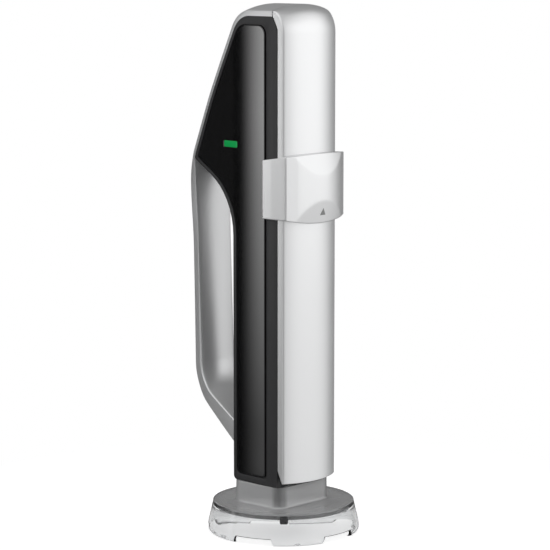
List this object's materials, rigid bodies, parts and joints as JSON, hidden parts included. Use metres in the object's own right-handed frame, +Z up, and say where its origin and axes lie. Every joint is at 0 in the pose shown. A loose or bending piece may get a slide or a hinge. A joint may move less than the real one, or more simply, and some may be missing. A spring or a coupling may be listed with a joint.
{
  "type": "wine preservation dispenser",
  "caption": "Handheld gas dispenser for wine with a hinged silver cover, sliding clasp and loop handle, standing on a round clear base.",
  "frame": {"origin": "centre of the stand's foot plane, on the stand's axis", "axes": "+Z up, -Y towards the cover and clasp, +Y towards the loop handle, +X to the right seen from the front"},
  "size_m": [0.0878, 0.108, 0.3042],
  "materials": {
    "clear_plastic": "clear moulded plastic, polished",
    "smoked_plastic": "smoked translucent plastic, satin",
    "satin_silver": "satin silver lacquer",
    "pearl_silver": "pearl silver lacquer",
    "bright_silver": "bright silver lacquer",
    "satin_black": "fine satin moulding",
    "gloss_black": "piano black gloss",
    "dark_plastic": "matt moulding",
    "window_green": "clear green lens",
    "flag_green": "moulded",
    "steel": "turned and brushed",
    "dark_steel": "blackened",
    "aluminium": "machined, clear anodised",
    "brass": "turned",
    "seal_rubber": "moulded seal"
  },
  "bodies": {
    "stand": {"stand_skirt": "clear_plastic", "stand_deck": "smoked_plastic"},
    "charger": {"rear_shell": "satin_silver", "handle_grip": "satin_silver", "housing_left": "satin_black", "housing_right": "satin_black", "panel_left": "gloss_black", "panel_right": "gloss_black", "indicator_window": "window_green", "bay_frame": "dark_plastic", "chassis": "aluminium", "base_plate": "dark_plastic", "stopper_socket": "aluminium", "valve_block": "brass", "relief_valve": "brass", "gas_tube": "steel", "regulator_body": "aluminium", "regulator_cap": "aluminium", "regulator_piston": "brass", "regulator_spring": "steel", "piercing_needle": "steel", "capsule_seal": "seal_rubber", "gas_capsule": "steel", "hinge_pin": "steel", "housing_screws": "dark_steel", "indicator_cylinder": "aluminium", "indicator_spring": "steel", "plunger_spring": "steel"},
    "cover": {"cover_shell": "pearl_silver", "cover_liner": "dark_plastic", "lever_frame": "steel", "lever_pins": "steel", "liner_screws": "dark_steel"},
    "clasp": {"clasp_band": "bright_silver", "clasp_runner": "dark_plastic", "clasp_screws": "dark_steel"},
    "press": {"press_yoke": "steel", "pull_rods": "steel"},
    "plunger": {"release_plunger": "steel", "plunger_clip": "dark_steel"},
    "indicator": {"indicator_flag": "flag_green"}
  },
  "joints": [
    {"name": "lift_off", "type": "slide", "parent": "stand", "child": "charger", "axis": [0, 0, 1], "range_m": [0, 0.08]},
    {"name": "cover_hinge", "type": "hinge", "parent": "charger", "child": "cover", "pos_m": [0, -0.0176, 0.041], "axis": [1, 0, 0], "range_deg": [0, 22]},
    {"name": "press_slide", "type": "slide", "parent": "charger", "child": "press", "axis": [0, 0, 1], "range_m": [0, 0.0033]},
    {"name": "clasp_slide", "type": "slide", "parent": "cover", "child": "clasp", "axis": [0, 0, 1], "range_m": [0, 0.012]},
    {"name": "plunger_slide", "type": "slide", "parent": "charger", "child": "plunger", "axis": [0, 0, 1], "range_m": [0, 0.005], "stiffness_N_per_m": 400, "springref_m": -0.003, "deforming": ["plunger_spring"]},
    {"name": "flag_slide", "type": "slide", "parent": "charger", "child": "indicator", "axis": [0, 0, 1], "range_m": [0, 0.005], "stiffness_N_per_m": 60, "springref_m": -0.002, "deforming": ["indicator_spring"]}
  ],
  "couplings": [
    {"joint": "press_slide", "follows": "cover_hinge", "m_per_rad": 0.0086}
  ]
}
